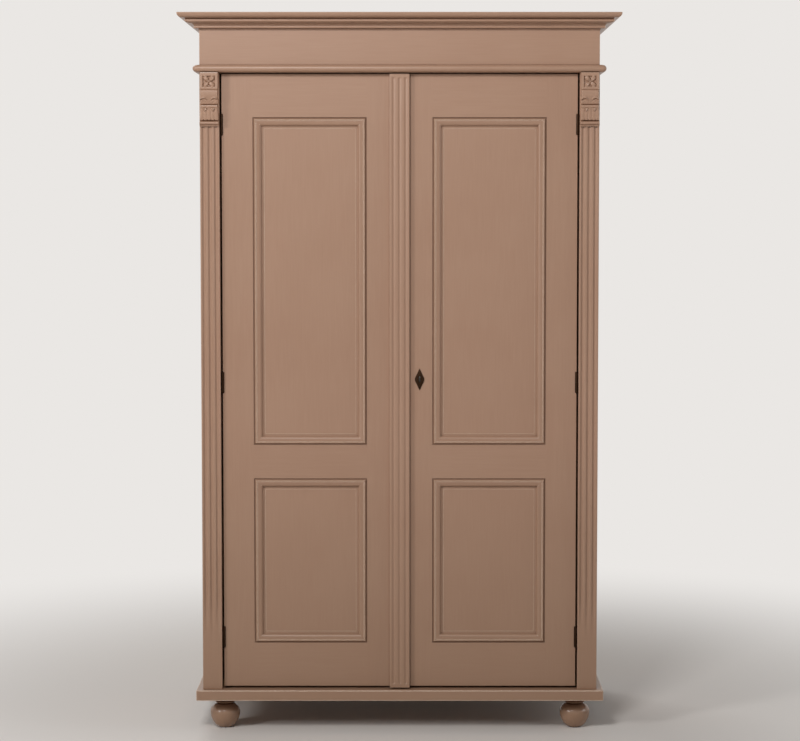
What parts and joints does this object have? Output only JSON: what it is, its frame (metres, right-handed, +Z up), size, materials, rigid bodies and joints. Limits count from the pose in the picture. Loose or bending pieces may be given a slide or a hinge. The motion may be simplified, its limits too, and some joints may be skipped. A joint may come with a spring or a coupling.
{
  "type": "wardrobe",
  "caption": "Tall painted wardrobe with panelled hinged doors, cornice, fluted posts, carved corbels and bun feet; hat shelf and clothes rail inside.",
  "frame": {"origin": "on the floor under the middle of the wardrobe's bounding box", "axes": "+Z up, +X to the right of someone who faces the doors, +Y from the doors to the back"},
  "size_m": [1.155, 0.6036, 1.9],
  "materials": {
    "painted_wood": "matt to satin taupe paint, brushed on pine",
    "waxed_pine": "planed pine, waxed",
    "blackened_iron": "blackened, satin",
    "lock_steel": "dull, drawn"
  },
  "bodies": {
    "carcass": {"base_board": "painted_wood", "carcass_top": "painted_wood", "left_side": "painted_wood", "right_side": "painted_wood", "back_panel": "waxed_pine", "floor_board": "waxed_pine", "front_left_foot": "painted_wood", "front_right_foot": "painted_wood", "back_left_foot": "painted_wood", "back_right_foot": "painted_wood", "frieze_front": "painted_wood", "frieze_left": "painted_wood", "frieze_right": "painted_wood", "frieze_back": "waxed_pine", "cornice_front": "painted_wood", "cornice_left": "painted_wood", "cornice_right": "painted_wood", "dust_board": "waxed_pine", "left_post": "painted_wood", "right_post": "painted_wood", "left_corbel": "painted_wood", "right_corbel": "painted_wood", "hat_shelf": "waxed_pine", "left_rail_cleat": "waxed_pine", "right_rail_cleat": "waxed_pine", "clothes_rail": "waxed_pine", "left_bottom_hinge_frame_half": "blackened_iron", "left_middle_hinge_frame_half": "blackened_iron", "left_top_hinge_frame_half": "blackened_iron", "right_bottom_hinge_frame_half": "blackened_iron", "right_middle_hinge_frame_half": "blackened_iron", "right_top_hinge_frame_half": "blackened_iron"},
    "left_door": {"left_hinge_stile": "painted_wood", "left_meeting_stile": "painted_wood", "left_top_rail": "painted_wood", "left_lock_rail": "painted_wood", "left_bottom_rail": "painted_wood", "left_upper_panel": "painted_wood", "left_lower_panel": "painted_wood", "left_upper_moulding": "painted_wood", "left_lower_moulding": "painted_wood", "centre_strip": "painted_wood", "left_bottom_hinge_leaf_half": "blackened_iron", "left_middle_hinge_leaf_half": "blackened_iron", "left_top_hinge_leaf_half": "blackened_iron"},
    "right_door": {"right_hinge_stile": "painted_wood", "right_meeting_stile": "painted_wood", "right_top_rail": "painted_wood", "right_lock_rail": "painted_wood", "right_bottom_rail": "painted_wood", "right_upper_panel": "painted_wood", "right_lower_panel": "painted_wood", "right_upper_moulding": "painted_wood", "right_lower_moulding": "painted_wood", "right_bottom_hinge_leaf_half": "blackened_iron", "right_middle_hinge_leaf_half": "blackened_iron", "right_top_hinge_leaf_half": "blackened_iron", "escutcheon": "blackened_iron", "lock_case": "lock_steel"},
    "lock_bolt": {"lock_bolt": "lock_steel"}
  },
  "joints": [
    {"name": "left_door_hinge", "type": "hinge", "parent": "carcass", "child": "left_door", "pos_m": [-0.468, -0.23825, 0.1205], "axis": [0, 0, -1], "range_deg": [0, 100]},
    {"name": "right_door_hinge", "type": "hinge", "parent": "carcass", "child": "right_door", "pos_m": [0.468, -0.23825, 0.1205], "axis": [0, 0, 1], "range_deg": [0, 100]},
    {"name": "lock_bolt_slide", "type": "slide", "parent": "right_door", "child": "lock_bolt", "axis": [-1, 0, 0], "range_m": [0, 0.01]}
  ]
}
